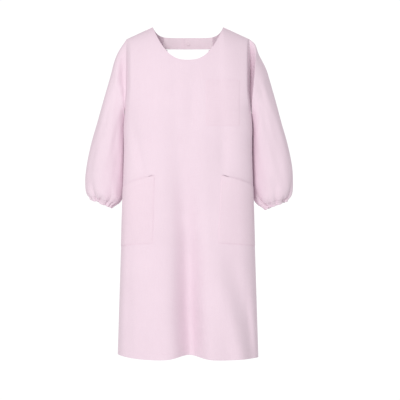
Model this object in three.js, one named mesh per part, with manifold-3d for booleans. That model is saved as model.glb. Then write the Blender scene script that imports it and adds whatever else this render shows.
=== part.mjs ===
// A back-opening smock gown with long puffed sleeves, elastic cuffs, a chest pocket, two hip pockets and a
// neck band that closes behind the neck with a press stud. It hangs as it is worn.
// Millimetres, +Z up, the wearer faces -Y. The origin lies midway between the two neck points, where the
// shoulder seams meet the neckline. "left" is -X and "right" is +X, seen from the front.
import * as THREE from "three";
import { mergeVertices } from "three/addons/utils/BufferGeometryUtils.js";
import Module from "manifold-3d";

const wasm = await Module();
wasm.setup();

// ---- Driving dimensions ----------------------------------------------------------------------------------

const LENGTH = 1053; // neck point to the lowest part of the front hem
const BACK_LENGTH = 1042; // neck point to the back hem
const CLOTH = 1.2; // one layer of cloth, with its seam allowances pressed into it
const LAYER_GAP = 0.6; // between two layers that lie on each other
const SEAM_GAP = 1; // between the edges of two panels that are sewn together

const NECK_HALF = 111.7; // half the neck opening's width
const NECK_DROP = 105.5; // front neckline below the neck points
const NECK_CURVE = 2.6; // how square the front neckline is
const BACK_NECK_CURVE = 7.5; // and the back one
const SHOULDER_HALF = 194; // half the width between the armholes
const SHOULDER_DROP = 38; // shoulder tip below the neck point
const UNDERARM_DEPTH = 270; // underarm below the neck points
const UNDERARM_HALF = 199; // half-widths of the body
const HEM_HALF = 223.5;
const CHEST_HALF_FULL = 212; // half-width that the chest would have with no armhole

const FRONT_DEPTH = 85; // how far the front stands forward of the side seams, at the chest
const FRONT_DEPTH_HEM = 112;
const BACK_DEPTH = 60;
const BACK_DEPTH_HEM = 82;
const SHOULDER_ROLL = 200; // height over which the shoulder rounds into the chest
const SHOULDER_SQUARE = 2.2; // exponent of the shoulder's rounding
const BODY_SQUARE = 2.3; // exponent of the body's cross-section
const CHEST_FADE = 60; // height above the underarm over which the chest reaches its full half-width
const ARMHOLE_FADE = 80; // and over which the armhole reaches the shoulder's half-width

const HEM_FOLD_X = 2; // the fold down the middle of the front
const HEM_FOLD_HALF = 45;
const HEM_FOLD_IN = 32; // how far it goes in at the hem
const HEM_FOLD_RISE = 24; // how far it lifts the hem
const HEM_FOLD_TOP = 350; // where it starts, below the neck points
const HEM_RISE = { left: 17, right: 8 }; // how far the hem rises to the side seams

const BACK_GAP_HALF = 18; // half the gap between the two back flaps
const KEYHOLE_HALF = 62; // half the width of the opening below the neck band
const KEYHOLE_END = 420; // its lower end, below the neck points
const KEYHOLE_BULGE = 22; // how much wider it gets on the way down
const BAND_SEAM_HALF = 80; // where the neck band is sewn to the back, and where the flap's fold line starts
const FOLD_HEM_HALF = 206; // where the fold line ends, at the hem
const FOLD_GAP = 2.5; // between the two halves of a back panel at its fold line

const HEM_HEIGHT = 20;
const HEM_REACH = 0.97; // share of the half-width that the front hem's turning takes
const FACING_WIDTH = 25;

const BAND_DROP = 35; // neck band's upper edge below the neck points
const BAND_WIDTH = 35;
const BAND_THICK = 2; // two layers and an interlining
const BAND_BULGE = 14; // how far it curves back round the neck
const BAND_OVERLAP = 26; // where its two ends lie on each other
const BAND_MIDDLE = 0; // x of the middle of that overlap
const BAND_SPACE = 3.6; // between the two ends, where the stud and socket are
const BAND_ROOT_GAP = 1.5; // between the band and the panel it is sewn to

const STUD_DISK = { radius: 5.6, thick: 0.7 }; // the two halves that lie between the band's ends
const STUD_CAP = { radius: 6.2, thick: 1 }; // the two faces outside them
const STUD_POST = 1.3; // radius of the rivet that goes through the cloth
const STUD_KNOB = { radius: 2.9, height: 1.1 };
const STUD_PLAY = 0.35; // between the stud's pieces, and round a rivet
const CLOTH_PLAY = 0.5; // between a stud piece and the curved band

const HIP_POCKET = { inner: 105, top: 470, topSide: 509, bottom: 685, bottomSide: 694, side: 0.955, bulge: 15 };
const CHEST_POCKET = { inner: 57, outer: 163, top: 171, bottom: 314, bulge: 12 };
const POCKET_HEM = 22;
const POCKET_FILL = 0.4; // share of its height over which a pocket swells to its full depth
const POCKET_MARGIN = 0.12; // share of a pocket's width between its side and its mouth's hem
const POCKET_GAP = 1.2; // between a pocket's sewn edges and the panel

const SLEEVE_GAP = 2.2; // between the sleeve and the armhole's edge
const ARMHOLE_FIT = 0.25; // share of the sleeve over which it takes on its own shape
const CUFF_HEIGHT = 0.055; // share of the sleeve that the cuff's casing takes
const ELASTIC = { thick: 0.9, inset: 0.6, from: 0.8, to: 0.15 }; // from and to are shares of the casing
const SWING_FROM = 3 / 9; // the sleeve bends between these two shares of its length
const SWING_TO = 4 / 9;
const SWING_GAP = 0.002; // share of the sleeve left between the pieces of a joint

const TIE_PATCH = { size: 32, below: 470 };
const LABEL = { width: 28, height: 42, below: 640, at: 0.9 };

const NUDGE = 1; // step for measuring a surface's slope
const INNER_SHARE = 0.992; // share of the half-width within which it is measured

// ---- Small helpers ---------------------------------------------------------------------------------------

const V = (x, y, z) => new THREE.Vector3(x, y, z);
const clamp = THREE.MathUtils.clamp;
const lerp = THREE.MathUtils.lerp;
const smooth = (t) => THREE.MathUtils.smoothstep(t, 0, 1);

/** A closed slab between two offsets of a surface. at(u, v, offset) gives a point; the surface's outer side is
 * the one that u cross v points to. round joins u = 0 to u = 1. */
function slab(at, columns, rows, outer, inner, round = false) {
  const points = [];
  const across = round ? columns : columns + 1;
  for (const offset of [outer, inner])
    for (let j = 0; j <= rows; j++)
      for (let i = 0; i < across; i++) points.push(at(i / columns, j / rows, offset));
  const id = (layer, i, j) => (layer * (rows + 1) + j) * across + (round ? i % columns : i);
  const faces = [];
  const quad = (a, b, c, d) => faces.push(a, b, c, a, c, d);
  for (let j = 0; j < rows; j++)
    for (let i = 0; i < columns; i++) {
      quad(id(0, i, j), id(0, i + 1, j), id(0, i + 1, j + 1), id(0, i, j + 1));
      quad(id(1, i, j), id(1, i, j + 1), id(1, i + 1, j + 1), id(1, i + 1, j));
    }
  for (let i = 0; i < columns; i++) {
    quad(id(0, i, 0), id(1, i, 0), id(1, i + 1, 0), id(0, i + 1, 0));
    quad(id(0, i, rows), id(0, i + 1, rows), id(1, i + 1, rows), id(1, i, rows));
  }
  for (let j = 0; j < rows && !round; j++) {
    quad(id(0, 0, j), id(0, 0, j + 1), id(1, 0, j + 1), id(1, 0, j));
    quad(id(0, columns, j), id(1, columns, j), id(1, columns, j + 1), id(0, columns, j + 1));
  }
  const geometry = new THREE.BufferGeometry();
  geometry.setAttribute("position", new THREE.Float32BufferAttribute(points.flatMap((p) => [p.x, p.y, p.z]), 3));
  geometry.setIndex(faces);
  return geometry;
}

/** The point at an offset along the normal of a surface given as a function of two numbers. */
function offsetPoint(surface, a, b, offset, stepA, stepB, outward) {
  const point = surface(a, b);
  const alongA = surface(a + stepA, b).sub(surface(a - stepA, b));
  const alongB = surface(a, b + stepB).sub(surface(a, b - stepB));
  const normal = alongA.cross(alongB).normalize().multiplyScalar(outward);
  return point.addScaledVector(normal, offset);
}

// ---- The body's surface ----------------------------------------------------------------------------------

/** Height of the shoulder line above a point, taken level across the neck. */
const shoulderZ = (x) =>
  -Math.max(0, Math.abs(x) - NECK_HALF) * (SHOULDER_DROP / (SHOULDER_HALF - NECK_HALF));

/** Height of the front neckline. */
const necklineZ = (x) => -NECK_DROP * (1 - Math.pow(Math.abs(x) / NECK_HALF, NECK_CURVE));

/** Share of the way from the underarm to the hem, 0 above the underarm. */
const bodyShare = (z) => clamp((-z - UNDERARM_DEPTH) / (LENGTH - UNDERARM_DEPTH), 0, 1.02);

/** Half-width of the body, as wide as it would be with no armhole. */
function fullHalf(z) {
  const above = smooth((z + UNDERARM_DEPTH) / CHEST_FADE);
  return lerp(UNDERARM_HALF, HEM_HALF, bodyShare(z)) + above * (CHEST_HALF_FULL - UNDERARM_HALF);
}

/** Half-width out to the side seam or the armhole. */
function edgeHalf(z) {
  const above = smooth((z + UNDERARM_DEPTH) / ARMHOLE_FADE);
  return lerp(UNDERARM_HALF, HEM_HALF, bodyShare(z)) - above * (UNDERARM_HALF - SHOULDER_HALF);
}

const hemFold = (x, z) =>
  Math.exp(-(((x - HEM_FOLD_X) / HEM_FOLD_HALF) ** 2)) * smooth((-z - HEM_FOLD_TOP) / (LENGTH - HEM_FOLD_TOP));

/** Share of the full depth that the cross-section and the shoulder leave at a point. */
function roundness(x, z) {
  const side = Math.pow(Math.max(0, 1 - Math.pow(Math.abs(x) / fullHalf(z), BODY_SQUARE)), 1 / BODY_SQUARE);
  const below = clamp((shoulderZ(x) - z) / SHOULDER_ROLL, 0, 1);
  return side * Math.sqrt(1 - Math.pow(1 - below, SHOULDER_SQUARE));
}

/** s runs from -1 at one side seam or armhole to 1 at the other. */
const xAt = (s, z) => edgeHalf(z) * Math.sin((Math.PI / 2) * s);
const sAt = (x, z) => (2 / Math.PI) * Math.asin(clamp(x / edgeHalf(z), -1, 1));

function frontSurface(s, z) {
  const x = xAt(s, z);
  const depth = lerp(FRONT_DEPTH, FRONT_DEPTH_HEM, bodyShare(z)) - HEM_FOLD_IN * hemFold(x, z);
  return V(x, -SEAM_GAP / 2 - depth * roundness(x, z), z);
}

function backSurface(s, z) {
  const x = xAt(s, z);
  return V(x, SEAM_GAP / 2 + lerp(BACK_DEPTH, BACK_DEPTH_HEM, bodyShare(z)) * roundness(x, z), z);
}

/** A point a distance outside the front or the back, at s and z. Slopes are measured just inside the edges.
 * outward is 1 for the front and -1 for the back, and neither crosses the seam between them. */
function outside(surface, s, z, offset, outward) {
  const inS = clamp(s, -INNER_SHARE, INNER_SHARE);
  const inZ = Math.min(z, shoulderZ(xAt(s, z)) - 2 * NUDGE);
  const base = surface(s, z);
  const lifted = offsetPoint(surface, inS, inZ, offset, 0.004, NUDGE, outward);
  base.add(lifted.sub(surface(inS, inZ)));
  base.y = -outward * Math.max(-outward * base.y, SEAM_GAP / 2);
  return base;
}
const onFront = (s, z, offset) => outside(frontSurface, s, z, offset, 1);
const onBack = (s, z, offset) => outside(backSurface, s, z, offset, -1);

/** Rows crowd towards the shoulder, where the cloth turns over. */
const crowded = (v) => 1 - (1 - v) ** 2;

function frontHemZ(x) {
  const side = x < 0 ? HEM_RISE.left : HEM_RISE.right;
  return -LENGTH + HEM_FOLD_RISE * hemFold(x, -LENGTH) + side * Math.pow(Math.abs(x) / HEM_HALF, 4);
}

/** Top of the front panel at a share of its width: the neckline, then the shoulder seam. */
function frontTopZ(share) {
  const x = share * SHOULDER_HALF;
  return Math.abs(x) < NECK_HALF ? necklineZ(x) : shoulderZ(x);
}

/** The front panel's grid. The neckline takes the middle columns, so that a column ends at each neck point. */
const PANEL_COLUMNS = 36;
const PANEL_ROWS = 20;
const NECK_COLUMNS = 14;
const S_NECK = sAt(NECK_HALF, 0);

/** A point of the panel, with its column counted from the middle and its row from the hem. */
function panelPoint(column, row, offset) {
  const neckSide = NECK_COLUMNS / 2;
  const beyond = Math.max(0, Math.abs(column) - neckSide) / (PANEL_COLUMNS / 2 - neckSide);
  const inside = Math.min(Math.abs(column), neckSide) / neckSide;
  const s = Math.sign(column) * (S_NECK * inside + (1 - S_NECK) * beyond);
  const share = Math.sin((Math.PI / 2) * s);
  return onFront(s, lerp(frontHemZ(share * HEM_HALF), frontTopZ(share), crowded(row / PANEL_ROWS)), offset);
}

function frontPanel() {
  const half = PANEL_COLUMNS / 2;
  return slab((u, v, o) => panelPoint(lerp(-half, half, u), PANEL_ROWS * v, o), 2 * half, PANEL_ROWS, 0, -CLOTH);
}

// ---- The back panels. Each is one cloth that folds along a straight line, so it is made in two pieces ---------

const BAND_FOOT = BAND_DROP + BAND_WIDTH; // lower edge of the neck band, below the neck points

/** Upper edge of the back of the neck: level, then up to the neck point. */
const backNeckZ = (x) => -BAND_DROP * (1 - Math.pow(Math.min(1, Math.abs(x) / NECK_HALF), BACK_NECK_CURVE));

/** x of the edge of the back opening: the keyhole, then the straight edge below it. */
function openingX(z) {
  const t = clamp((-z - BAND_FOOT) / (KEYHOLE_END - BAND_FOOT), 0, 1);
  return lerp(KEYHOLE_HALF, BACK_GAP_HALF, smooth(t)) + KEYHOLE_BULGE * Math.sin(Math.PI * Math.sqrt(t)) ** 2;
}

/** x of the line along which the flap folds out. Above it, the band's seam is upright. */
const foldX = (z) =>
  lerp(BAND_SEAM_HALF, FOLD_HEM_HALF, clamp((-z - BAND_FOOT) / (BACK_LENGTH - BAND_FOOT), 0, 1));

/** The part of the back that stays, above the underarm and below it. Its columns run from the side seam to the
 * fold line, and one ends at the neck point. */
const STAY_COLUMNS = 8;
const STAY_NECK_COLUMN = 6;
const NECK_SHARE = (1 - S_NECK) / (1 - sAt(BAND_SEAM_HALF, 0));

function stayPoint(side, column, z, offset) {
  const beyond = Math.max(0, column - STAY_NECK_COLUMN) / (STAY_COLUMNS - STAY_NECK_COLUMN);
  const across = NECK_SHARE * Math.min(1, column / STAY_NECK_COLUMN) + (1 - NECK_SHARE) * beyond;
  return onBack(side * lerp(1, sAt(foldX(z) + FOLD_GAP / 2, z), across), z, offset);
}

/** Height of the shoulder seam and of the back of the neck, at the top of a column. */
function stayTopZ(column) {
  const topX = stayPoint(1, column, -NUDGE, 0).x;
  return column > STAY_NECK_COLUMN ? backNeckZ(topX) : shoulderZ(topX);
}

function backStay(side, rows, height) {
  const at = (u, v, offset) => {
    const column = STAY_COLUMNS * (side > 0 ? u : 1 - u);
    return stayPoint(side, column, height(column, v), offset);
  };
  return slab(at, STAY_COLUMNS, rows, 0, -CLOTH);
}
const backShoulder = (side) =>
  backStay(side, 10, (column, v) => lerp(-UNDERARM_DEPTH + FOLD_GAP, stayTopZ(column), crowded(v)));
const backSide = (side) => backStay(side, 8, (column, v) => lerp(-BACK_LENGTH, -UNDERARM_DEPTH, v));

/** A point of the flap: across is 0 at the back opening and 1 at the fold line. */
function flapPoint(side, across, z, offset) {
  const s = lerp(sAt(openingX(z), z), sAt(foldX(z) - FOLD_GAP / 2, z), across);
  return onBack(side * s, z, offset);
}

const FLAP_COLUMNS = 8;
function backFlap(side) {
  const top = -BAND_FOOT - FOLD_GAP;
  const at = (u, v, offset) => flapPoint(side, side > 0 ? 1 - u : u, lerp(-BACK_LENGTH, top, v), offset);
  return slab(at, FLAP_COLUMNS, 15, 0, -CLOTH);
}

/** A turned hem inside the foot of a panel. */
function flapHem(side) {
  const offset = -CLOTH - LAYER_GAP;
  const at = (u, v, o) =>
    flapPoint(side, side > 0 ? 1 - u : u, lerp(-BACK_LENGTH, -BACK_LENGTH + HEM_HEIGHT, v), o);
  return slab(at, FLAP_COLUMNS, 1, offset, offset - CLOTH);
}

/** The facing that finishes the edge of the back opening, inside the flap. */
function flapFacing(side) {
  const offset = -CLOTH - LAYER_GAP;
  const bottom = -BACK_LENGTH + HEM_HEIGHT + 2;
  const at = (u, v, o) => {
    const z = lerp(bottom, -KEYHOLE_END, v);
    const x = openingX(z) + lerp(0.5, FACING_WIDTH, side > 0 ? 1 - u : u);
    return onBack(side * sAt(x, z), z, o);
  };
  return slab(at, 2, 10, offset, offset - CLOTH);
}

/** The reinforcing patch that a waist tie is sewn to. */
function tiePatch(side) {
  const middle = BACK_GAP_HALF + TIE_PATCH.size / 2 + 4;
  const at = (u, v, o) => {
    const x = middle + (u - 0.5) * TIE_PATCH.size * -side;
    const z = -TIE_PATCH.below + (v - 0.5) * TIE_PATCH.size;
    return onBack(side * sAt(x, z), z, o);
  };
  return slab(at, 3, 3, LAYER_GAP + CLOTH, LAYER_GAP);
}

// ---- Pieces on the front panel -----------------------------------------------------------------------------

/** The facing inside the front neckline lies on the panel's own grid: these columns and rows of it. */
const FACING_COLUMNS = 18;
const FACING_ROWS = 3;
function neckFacing() {
  const offset = -CLOTH - LAYER_GAP;
  const half = FACING_COLUMNS / 2;
  const at = (u, v, o) => panelPoint(lerp(-half, half, u), PANEL_ROWS - FACING_ROWS * (1 - v), o);
  return slab(at, FACING_COLUMNS, FACING_ROWS, offset, offset - CLOTH);
}

function frontHem() {
  const offset = -CLOTH - LAYER_GAP;
  const at = (u, v, o) => {
    const s = HEM_REACH * (2 * u - 1);
    return onFront(s, frontHemZ(xAt(s, -LENGTH)) + lerp(0, HEM_HEIGHT, v), o);
  };
  return slab(at, PANEL_COLUMNS, 1, offset, offset - CLOTH);
}

/** Where a pocket lies: u across from the wearer's left to right as seen, v up. Gives s and z. */
function hipPocketPlace(side) {
  const p = HIP_POCKET;
  return (u, v) => {
    const across = side > 0 ? u : 1 - u;
    const z = lerp(lerp(-p.bottom, -p.bottomSide, across), lerp(-p.top, -p.topSide, across), v);
    return [side * lerp(sAt(p.inner, z), p.side, across), z];
  };
}

function chestPocketPlace() {
  const p = CHEST_POCKET;
  return (u, v) => {
    const z = lerp(-p.bottom, -p.top, v);
    return [sAt(lerp(p.inner, p.outer, u), z), z];
  };
}

/** How far a pocket stands off the panel: nothing at its sewn sides and foot, most at its mouth. */
function pocketBulge(u, v, bulge) {
  const across = Math.sqrt(Math.sin(Math.PI * clamp(u, 0, 1)));
  const up = Math.sin((Math.PI / 2) * Math.min(1, v / POCKET_FILL));
  return POCKET_GAP + bulge * across * up;
}

function pocket(place, bulge) {
  const at = (u, v, o) => {
    const [s, z] = place(u, v);
    return onFront(s, z, o + pocketBulge(u, v, bulge));
  };
  return slab(at, 10, 8, CLOTH, 0);
}

/** The turned hem inside a pocket's mouth. */
function pocketHem(place, bulge, height) {
  const at = (u, v, o) => {
    const a = lerp(POCKET_MARGIN, 1 - POCKET_MARGIN, u);
    const b = lerp(1 - POCKET_HEM / height, 1, v);
    const [s, z] = place(a, b);
    return onFront(s, z, o + pocketBulge(a, b, bulge));
  };
  return slab(at, 10, 2, -LAYER_GAP, -LAYER_GAP - CLOTH);
}

/** A blank care label, sewn by its top edge inside the panel near the side seam. */
function careLabel() {
  const offset = -CLOTH - LAYER_GAP;
  const at = (u, v, o) => {
    const z = -LABEL.below - LABEL.height * (1 - v);
    const x = -edgeHalf(z) * LABEL.at + (u - 0.5) * LABEL.width;
    return onFront(sAt(x, z), z, o);
  };
  return slab(at, 4, 2, offset, offset - CLOTH / 2);
}

// ---- The neck band -------------------------------------------------------------------------------------------

/** y of the middle of the band at x, before either end moves out of the other's way. */
function bandY(x) {
  const seam = backSurface(sAt(BAND_SEAM_HALF, 0), -BAND_DROP - BAND_WIDTH / 2).y;
  return seam - BAND_THICK + BAND_BULGE * (1 - (x / BAND_SEAM_HALF) ** 2);
}

/** One half of the band. outer is 1 for the end that lies behind, -1 for the end next to the neck. */
function bandHalf(side, outer) {
  const end = BAND_MIDDLE - (side * BAND_OVERLAP) / 2;
  const root = side * (BAND_SEAM_HALF - BAND_ROOT_GAP);
  const at = (u, v, o) => {
    const x = lerp(end, root, side > 0 ? 1 - u : u);
    const z = lerp(-BAND_FOOT, backNeckZ(x), v);
    const apart = outer * (BAND_SPACE + BAND_THICK) * 0.5 * smooth(1 - Math.abs(x - BAND_MIDDLE) / BAND_SEAM_HALF);
    return V(x, bandY(x) + apart + o, z);
  };
  return slab(at, 14, 2, BAND_THICK / 2, -BAND_THICK / 2);
}

/** A closed mesh with merged corners as a manifold-3d solid. */
function solidOf(geometry) {
  const g = geometry.clone();
  g.deleteAttribute("normal");
  g.deleteAttribute("uv");
  const merged = mergeVertices(g, 1e-4);
  return new wasm.Manifold(
    new wasm.Mesh({
      numProp: 3,
      vertProperties: merged.attributes.position.array,
      triVerts: new Uint32Array(merged.index.array),
    }),
  );
}

function geometryOf(solid) {
  const mesh = solid.getMesh();
  const geometry = new THREE.BufferGeometry();
  geometry.setAttribute("position", new THREE.BufferAttribute(Float32Array.from(mesh.vertProperties), 3));
  geometry.setIndex(new THREE.BufferAttribute(mesh.triVerts, 1));
  return geometry;
}

const STUD_Z = -BAND_DROP - BAND_WIDTH / 2;

/** y of a face of one of the band's ends at the stud: outer as in bandHalf, face 1 for the side away from the neck. */
const bandFaceY = (outer, face) =>
  bandY(BAND_MIDDLE) + (outer * (BAND_SPACE + BAND_THICK)) / 2 + (face * BAND_THICK) / 2;

/** A round piece of the press stud. Its half-outline, as (radius, height), goes anticlockwise; height runs
 * along +Y from the given y, or along -Y when flipped. */
function studPiece(outline, y, flipped = false) {
  const points = outline.map(([r, h]) => new THREE.Vector2(r, h));
  const geometry = new THREE.LatheGeometry([...points, points[0]], 20);
  if (flipped) geometry.rotateX(Math.PI);
  return geometry.translate(BAND_MIDDLE, y, STUD_Z);
}

const RIVET_HOLE = STUD_POST + STUD_PLAY;

/** Cap outside the band with a rivet that reaches through the cloth. */
function studCap(outer) {
  const { radius, thick } = STUD_CAP;
  const reach = BAND_THICK + 2 * CLOTH_PLAY + STUD_DISK.thick * 0.7;
  const outline = [
    [0, -reach], [STUD_POST, -reach], [STUD_POST, 0], [radius, 0], [radius, thick * 0.4],
    [radius * 0.7, thick * 0.85], [0, thick],
  ];
  return studPiece(outline, bandFaceY(outer, outer) + outer * CLOTH_PLAY, outer < 0);
}

/** Half with the knob, on the end next to the neck. Its knob is hollow for the rivet. */
function studKnob() {
  const { radius, thick } = STUD_DISK;
  const top = thick + STUD_KNOB.height;
  const outline = [
    [RIVET_HOLE, 0], [radius, 0], [radius, thick], [STUD_KNOB.radius, thick], [STUD_KNOB.radius, top - 0.3],
    [STUD_KNOB.radius - 0.3, top], [0, top], [0, thick + 0.4], [RIVET_HOLE, thick + 0.4],
  ];
  return studPiece(outline, bandFaceY(-1, 1) + CLOTH_PLAY);
}

/** Half with the socket, on the end that lies behind: a ring whose floor is pierced for the rivet. */
function studSocket() {
  const { radius, thick } = STUD_DISK;
  const ring = BAND_SPACE - 2 * CLOTH_PLAY - thick - STUD_PLAY;
  const hollow = STUD_KNOB.radius + STUD_PLAY;
  const outline = [
    [RIVET_HOLE, 0], [radius, 0], [radius, ring], [hollow, ring], [hollow, thick], [RIVET_HOLE, thick],
  ];
  return studPiece(outline, bandFaceY(1, -1) - CLOTH_PLAY, true);
}

/** A band end with the hole that its rivet goes through. */
function withRivetHole(band) {
  const tool = new THREE.CylinderGeometry(RIVET_HOLE, RIVET_HOLE, 4 * BAND_SPACE, 24);
  tool.translate(BAND_MIDDLE, bandY(BAND_MIDDLE), STUD_Z);
  return geometryOf(solidOf(band).subtract(solidOf(tool)));
}

// ---- The sleeves ---------------------------------------------------------------------------------------------

// Places on the right sleeve, from the armhole to the cuff: how far its outer line lies out from and below the
// shoulder tip, how far its inner line lies out from the body's side and below the underarm, its half-depth and
// its middle's y. Where the inner line lies in from the side, the sleeve hangs behind it.
const SLEEVE_PLACES = [
  [1, 1, 0, -2, 46, 0],
  [38, 54, 4.5, 16, 47, 5],
  [58, 127, 4, 33, 48, 12],
  [77, 200, 2.1, 62, 48, 19],
  [95, 265, -0.3, 105, 49, 25],
  [112, 324, -2.3, 155, 51, 30],
  [126, 387, -3.4, 205, 53, 33],
  [133, 442, -3.7, 245, 53, 34],
  [129, 483, 4.3, 279, 45, 33],
  [119, 509, 32.5, 305, 26, 32],
];
const sleeveLine = (pick) => new THREE.CatmullRomCurve3(SLEEVE_PLACES.map(pick), false, "catmullrom", 0.5);
const OUTER_LINE = sleeveLine(([out, down]) => V(SHOULDER_HALF + out, 0, -SHOULDER_DROP - down));
const INNER_LINE = sleeveLine(([, , beside, down]) => {
  const z = -UNDERARM_DEPTH - down;
  return V(edgeHalf(z) + beside, 0, z);
});
const DEPTH_LINE = sleeveLine(([, , , , depth, y]) => V(depth, y, 0));

/** The armhole's edge on the body, by angle: 0 at the shoulder tip, half a turn at the underarm. */
function armholePoint(angle) {
  const z = lerp(-UNDERARM_DEPTH, -SHOULDER_DROP, 0.5 + 0.5 * Math.cos(angle));
  const forward = Math.sin(angle) < 0;
  const p = forward ? frontSurface(1, z) : backSurface(1, z);
  return V(p.x + SLEEVE_GAP, p.y, p.z);
}

function sleeveOval(angle, t) {
  const outer = OUTER_LINE.getPoint(t);
  const inner = INNER_LINE.getPoint(t);
  const { x: depth, y: middle } = DEPTH_LINE.getPoint(t);
  const reach = outer.clone().sub(inner).multiplyScalar(Math.cos(angle) / 2);
  const p = outer.add(inner).multiplyScalar(0.5).add(reach);
  return V(p.x, middle + depth * Math.sin(angle), p.z);
}

/** The right sleeve's surface: angle round it and share t of the way from the armhole to the cuff. */
function sleeveSurface(angle, t) {
  const p = sleeveOval(angle, t);
  const fit = armholePoint(angle).sub(sleeveOval(angle, 0));
  return p.addScaledVector(fit, 1 - smooth(t / ARMHOLE_FIT));
}

function sleevePart(side, from, to, rows, outer, inner) {
  const at = (u, v, offset) => {
    const t = lerp(from, to, v);
    const inT = clamp(t, 0.01, 0.995);
    const angle = 2 * Math.PI * u;
    const p = sleeveSurface(angle, t);
    const lifted = offsetPoint(sleeveSurface, angle, inT, offset, 0.02, 0.004, 1);
    p.add(lifted.sub(sleeveSurface(angle, inT)));
    return side > 0 ? p : V(-p.x, p.y, p.z);
  };
  return slab(side > 0 ? at : (u, v, o) => at(1 - u, v, o), 24, rows, outer, inner, true);
}

// ---- Assembly ------------------------------------------------------------------------------------------------

const PINK = new THREE.MeshStandardMaterial({ color: 0xefd9e7, roughness: 0.9, metalness: 0 });
const ELASTIC_WHITE = new THREE.MeshStandardMaterial({ color: 0xf4f2f0, roughness: 0.85, metalness: 0 });
const LABEL_WHITE = new THREE.MeshStandardMaterial({ color: 0xfafafa, roughness: 0.7, metalness: 0 });
const STUD_PINK = new THREE.MeshStandardMaterial({ color: 0xecd0de, roughness: 0.35, metalness: 0 });

const gown = new THREE.Group();
function add(name, geometry, material = PINK) {
  const mesh = new THREE.Mesh(geometry, material);
  mesh.name = name;
  gown.add(mesh);
}

add("front_panel", frontPanel());
add("neck_facing", neckFacing());
add("front_hem", frontHem());
add("care_label", careLabel(), LABEL_WHITE);

const CHEST_HEIGHT = CHEST_POCKET.bottom - CHEST_POCKET.top;
const HIP_HEIGHT = HIP_POCKET.bottom - HIP_POCKET.top;
const POCKETS = [
  ["chest", chestPocketPlace(), CHEST_POCKET.bulge, CHEST_HEIGHT],
  ["left_hip", hipPocketPlace(-1), HIP_POCKET.bulge, HIP_HEIGHT],
  ["right_hip", hipPocketPlace(1), HIP_POCKET.bulge, HIP_HEIGHT],
];
for (const [name, place, bulge, height] of POCKETS) {
  add(`${name}_pocket`, pocket(place, bulge));
  add(`${name}_pocket_hem`, pocketHem(place, bulge, height));
}

for (const [name, side] of [["left", -1], ["right", 1]]) {
  add(`${name}_back_shoulder`, backShoulder(side));
  add(`${name}_back_side`, backSide(side));
  add(`${name}_back_flap`, backFlap(side));
  add(`${name}_back_hem`, flapHem(side));
  add(`${name}_back_facing`, flapFacing(side));
  add(`${name}_tie_patch`, tiePatch(side));
  add(`${name}_neck_band`, withRivetHole(bandHalf(side, -side)));
  add(`${name}_sleeve_cap`, sleevePart(side, 0, SWING_FROM - SWING_GAP, 6, 0, -CLOTH));
  add(`${name}_sleeve_bend`, sleevePart(side, SWING_FROM, SWING_TO - SWING_GAP, 2, 0, -CLOTH));
  add(`${name}_sleeve`, sleevePart(side, SWING_TO, 1, 9, 0, -CLOTH));
  const fold = -CLOTH - LAYER_GAP - ELASTIC.inset - ELASTIC.thick - LAYER_GAP;
  add(`${name}_cuff_casing`, sleevePart(side, 1 - CUFF_HEIGHT, 1, 2, fold, fold - CLOTH));
  const band = -CLOTH - LAYER_GAP - ELASTIC.inset;
  const [from, to] = [ELASTIC.from, ELASTIC.to].map((share) => 1 - CUFF_HEIGHT * share);
  const elastic = sleevePart(side, from, to, 1, band, band - ELASTIC.thick);
  add(`${name}_cuff_elastic`, elastic, ELASTIC_WHITE);
}

add("stud_cap", studCap(1), STUD_PINK);
add("stud_socket", studSocket(), STUD_PINK);
add("stud_knob", studKnob(), STUD_PINK);
add("stud_back_cap", studCap(-1), STUD_PINK);

export default gown;
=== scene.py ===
"""Looks of a back-opening care gown: cloth panels, puffed sleeves, pockets, neck band, seams and stitching,
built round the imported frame. Metres, +Z up, the wearer faces -Y, the origin between the neck points."""

import math

import bpy
import numpy as np
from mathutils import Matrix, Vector


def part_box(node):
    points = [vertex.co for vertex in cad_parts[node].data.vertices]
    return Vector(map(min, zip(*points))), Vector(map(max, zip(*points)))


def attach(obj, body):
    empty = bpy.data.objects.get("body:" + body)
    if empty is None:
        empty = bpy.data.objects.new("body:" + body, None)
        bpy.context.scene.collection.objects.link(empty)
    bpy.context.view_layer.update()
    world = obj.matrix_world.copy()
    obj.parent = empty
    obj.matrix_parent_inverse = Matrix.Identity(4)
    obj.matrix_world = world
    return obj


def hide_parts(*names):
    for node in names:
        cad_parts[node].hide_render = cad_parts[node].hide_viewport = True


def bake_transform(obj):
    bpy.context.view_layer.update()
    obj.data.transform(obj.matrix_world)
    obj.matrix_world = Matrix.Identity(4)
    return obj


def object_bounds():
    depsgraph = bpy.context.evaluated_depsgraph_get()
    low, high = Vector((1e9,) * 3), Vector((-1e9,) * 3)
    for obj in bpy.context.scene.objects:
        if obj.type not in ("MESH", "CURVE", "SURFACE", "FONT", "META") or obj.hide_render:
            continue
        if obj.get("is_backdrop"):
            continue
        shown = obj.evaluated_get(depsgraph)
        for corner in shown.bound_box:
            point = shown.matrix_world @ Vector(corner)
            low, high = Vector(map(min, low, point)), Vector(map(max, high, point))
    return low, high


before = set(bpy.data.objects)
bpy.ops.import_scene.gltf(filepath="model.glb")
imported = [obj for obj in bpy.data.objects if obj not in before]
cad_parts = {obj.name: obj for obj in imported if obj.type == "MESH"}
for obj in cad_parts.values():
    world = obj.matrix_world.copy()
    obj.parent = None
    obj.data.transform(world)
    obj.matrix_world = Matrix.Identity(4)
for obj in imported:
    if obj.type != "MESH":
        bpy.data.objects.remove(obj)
cad_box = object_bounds()

# ---- Sizes ---------------------------------------------------

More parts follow.
